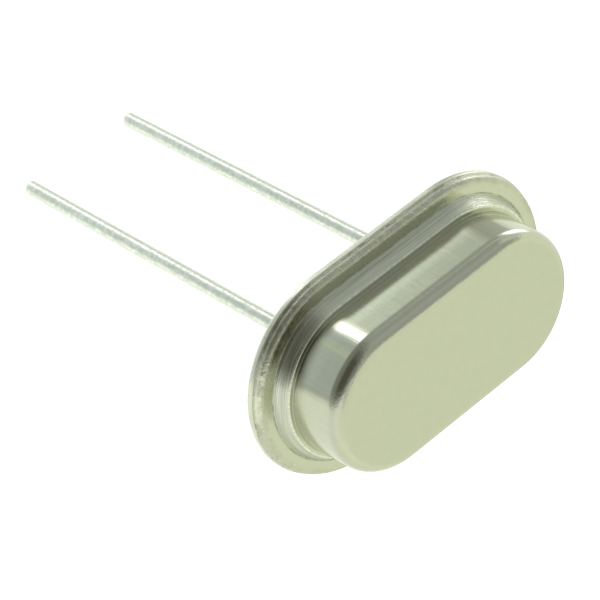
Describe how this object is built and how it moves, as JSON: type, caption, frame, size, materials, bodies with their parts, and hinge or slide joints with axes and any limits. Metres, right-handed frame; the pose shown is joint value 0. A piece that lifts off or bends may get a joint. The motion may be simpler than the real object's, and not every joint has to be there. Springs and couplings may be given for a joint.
{
  "type": "crystal oscillator",
  "caption": "Quartz crystal in a low welded metal can with round ends and a stepped flange, with wire leads for mounting through a circuit board.",
  "frame": {"origin": "centre of the base's flat underside, midway between the two leads", "axes": "+Z out through the top of the can, the leads pointing down -Z; X from lead to lead, along the can's length; Y across its width"},
  "size_m": [0.011, 0.0066, 0.0176],
  "materials": {
    "can_metal": "drawn nickel silver, satin with a pale yellow-green cast",
    "base_metal": "stamped and nickel plated, fine grained",
    "bead_glass": "dark sealing glass, glossy",
    "lead_tin": "dull tin coat on wire",
    "clip_nickel": "rolled nickel strip",
    "quartz": "lapped and etched quartz",
    "silver_film": "evaporated silver",
    "silver_glue": "silver-filled epoxy"
  },
  "bodies": {
    "root": {"can": "can_metal", "base": "base_metal", "glass_bead_left": "bead_glass", "glass_bead_right": "bead_glass", "lead_left": "lead_tin", "lead_right": "lead_tin", "spring_clip_left": "clip_nickel", "spring_clip_right": "clip_nickel", "quartz_strip": "quartz", "electrode_top": "silver_film", "electrode_bottom": "silver_film", "glue_left": "silver_glue", "glue_right": "silver_glue"}
  },
  "joints": []
}
